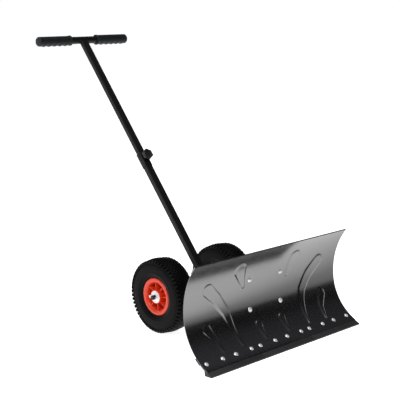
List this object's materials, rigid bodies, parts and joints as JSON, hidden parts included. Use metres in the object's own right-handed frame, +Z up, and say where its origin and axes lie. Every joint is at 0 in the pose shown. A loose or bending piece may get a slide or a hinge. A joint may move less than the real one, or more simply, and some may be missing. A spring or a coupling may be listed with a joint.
{
  "type": "wheeled snow shovel",
  "caption": "Curved snow plough blade with wear strips on a swivel fork, pushed from a two-wheeled chassis by a telescopic T-handle.",
  "frame": {"origin": "on the ground under the centre of the bounding box", "axes": "+X along the wheel axle to the user's right when facing -Y, +Y from the blade back to the handle, +Z up; the blade pushes towards -Y"},
  "size_m": [0.74, 1.0805, 1.0395],
  "materials": {
    "blade_steel": "glossy black powder coat on pressed sheet steel",
    "wear_strip": "moulded black rubber",
    "zinc_steel": "bright zinc plated steel",
    "bearing_steel": "ground bearing steel",
    "frame_paint": "satin black powder coat",
    "black_plastic": "moulded black polypropylene",
    "grip_rubber": "soft moulded grip",
    "tyre_rubber": "black tyre rubber",
    "rim_plastic": "moulded orange red polypropylene"
  },
  "bodies": {
    "chassis": {"lower_tube": "frame_paint", "collar": "frame_paint", "collar_nut": "frame_paint", "chassis_beam": "frame_paint", "beam_cap": "black_plastic", "pivot_sleeve": "frame_paint", "pivot_bushes": "black_plastic", "axle_gusset_left": "frame_paint", "axle_gusset_right": "frame_paint", "foot_gusset_left": "frame_paint", "foot_gusset_right": "frame_paint", "axle_tube": "frame_paint", "axle_rod": "frame_paint", "axle_washers": "zinc_steel", "split_pins": "zinc_steel", "inner_races": "bearing_steel", "lock_spacer": "frame_paint", "lock_nut": "zinc_steel"},
    "blade": {"blade_sheet": "blade_steel", "wear_strip_left": "wear_strip", "wear_strip_middle": "wear_strip", "wear_strip_right": "wear_strip", "strip_bolts": "zinc_steel", "strip_washers": "zinc_steel", "strip_nuts": "zinc_steel", "bracket_strap_left": "frame_paint", "bracket_strap_right": "frame_paint", "bracket_bolts": "zinc_steel", "bracket_washers": "zinc_steel", "bracket_nuts": "zinc_steel", "fork_plate_lower": "frame_paint", "fork_plate_upper": "frame_paint", "fork_web_left": "frame_paint", "fork_web_right": "frame_paint", "pivot_bolt": "zinc_steel", "pivot_washers": "zinc_steel", "pivot_nut": "zinc_steel"},
    "handle": {"upper_tube": "frame_paint", "upper_tube_plug": "black_plastic", "crossbar": "frame_paint", "grip_left": "grip_rubber", "grip_right": "grip_rubber"},
    "clamp_knob": {"clamp_knob_head": "black_plastic", "clamp_knob_stud": "zinc_steel"},
    "lock_knob": {"lock_knob_head": "black_plastic", "lock_knob_stud": "zinc_steel", "lock_washer": "zinc_steel"},
    "wheel_left": {"rim_left": "rim_plastic", "tyre_left": "tyre_rubber", "inner_tube_left": "tyre_rubber", "valve_left": "tyre_rubber", "bearing_cups_left": "zinc_steel", "ball_rings_left": "bearing_steel"},
    "wheel_right": {"rim_right": "rim_plastic", "tyre_right": "tyre_rubber", "inner_tube_right": "tyre_rubber", "valve_right": "tyre_rubber", "bearing_cups_right": "zinc_steel", "ball_rings_right": "bearing_steel"}
  },
  "joints": [
    {"name": "blade_swivel", "type": "hinge", "parent": "chassis", "child": "blade", "pos_m": [0, -0.33, 0.1544], "axis": [0, 0, 1], "range_deg": [-30, 30]},
    {"name": "handle_slide", "type": "slide", "parent": "chassis", "child": "handle", "axis": [0, 0.6125, 0.7905], "range_m": [-0.12, 0.08]},
    {"name": "clamp_knob_turn", "type": "hinge", "parent": "chassis", "child": "clamp_knob", "pos_m": [0, 0.18061, 0.58112], "axis": [0, -0.7905, 0.6125], "range_deg": [0, 720]},
    {"name": "lock_knob_turn", "type": "hinge", "parent": "chassis", "child": "lock_knob", "pos_m": [0, -0.268, 0.1944], "axis": [0, 0, 1], "range_deg": [0, 720]},
    {"name": "wheel_left_spin", "type": "hinge", "parent": "chassis", "child": "wheel_left", "pos_m": [-0.15, -0.07524, 0.1334], "axis": [1, 0, 0], "continuous": true},
    {"name": "wheel_right_spin", "type": "hinge", "parent": "chassis", "child": "wheel_right", "pos_m": [0.15, -0.07524, 0.1334], "axis": [1, 0, 0], "continuous": true}
  ]
}
